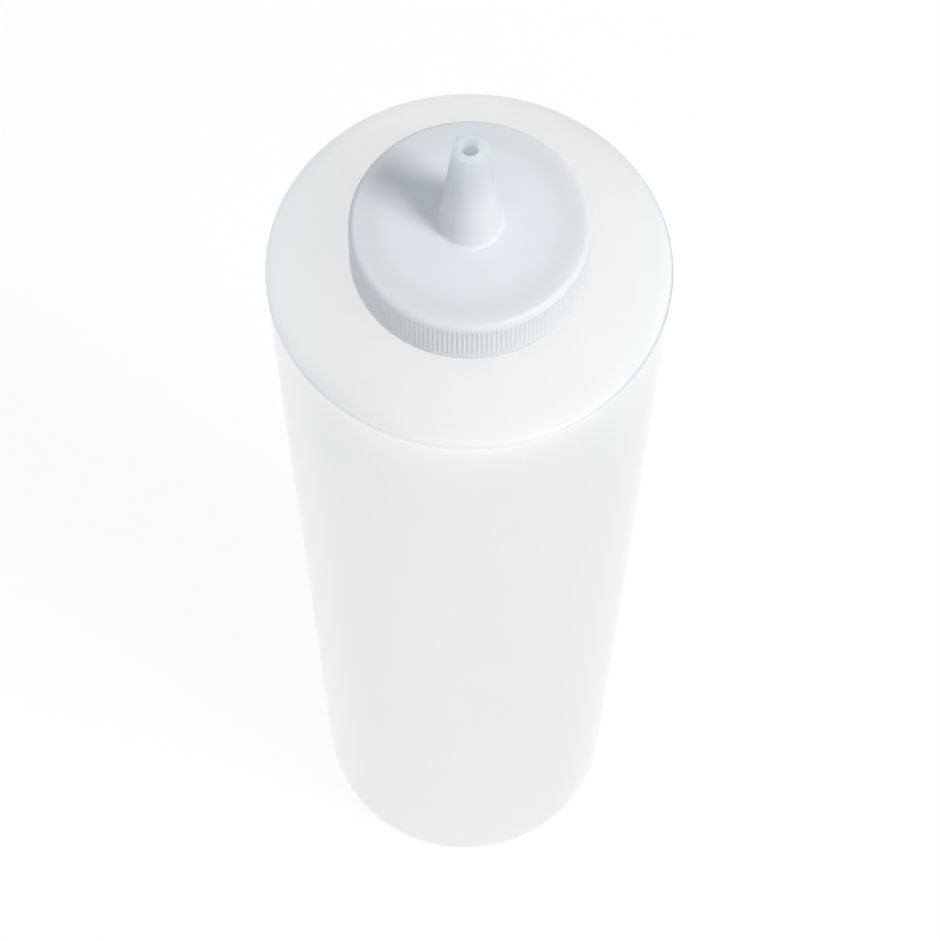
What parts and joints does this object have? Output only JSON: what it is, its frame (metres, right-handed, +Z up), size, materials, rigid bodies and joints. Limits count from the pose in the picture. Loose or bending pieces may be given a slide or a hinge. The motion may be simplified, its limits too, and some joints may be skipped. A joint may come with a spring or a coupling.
{
  "type": "squeeze sauce bottle",
  "caption": "Translucent cylindrical squeeze bottle for sauce with a ribbed screw cap and an open conical pouring nozzle moulded in one with the cap.",
  "frame": {"origin": "middle of the base, on the plane that the bottle stands on", "axes": "+Z up along the axis of the bottle, neck and nozzle; +X and +Y across, with no front because the object is round"},
  "size_m": [0.07, 0.07, 0.2752],
  "materials": {
    "bottle": "natural translucent squeezable plastic, satin",
    "cap": "opaque white moulded plastic, faintly bluish, satin",
    "liner": "soft white sealing foam, matte"
  },
  "bodies": {
    "bottle": {"bottle": "bottle"},
    "liner": {"cap_liner": "liner"},
    "cap": {"cap": "cap"}
  },
  "joints": [
    {"name": "cap_rise", "type": "slide", "parent": "bottle", "child": "liner", "axis": [0, 0, 1], "range_m": [0, 0.0106]},
    {"name": "cap_turn", "type": "hinge", "parent": "liner", "child": "cap", "pos_m": [0, 0, 0.2412], "axis": [0, 0, 1], "range_deg": [0, 900]}
  ],
  "couplings": [
    {"joint": "cap_rise", "follows": "cap_turn", "m_per_rad": 0.00067375}
  ]
}
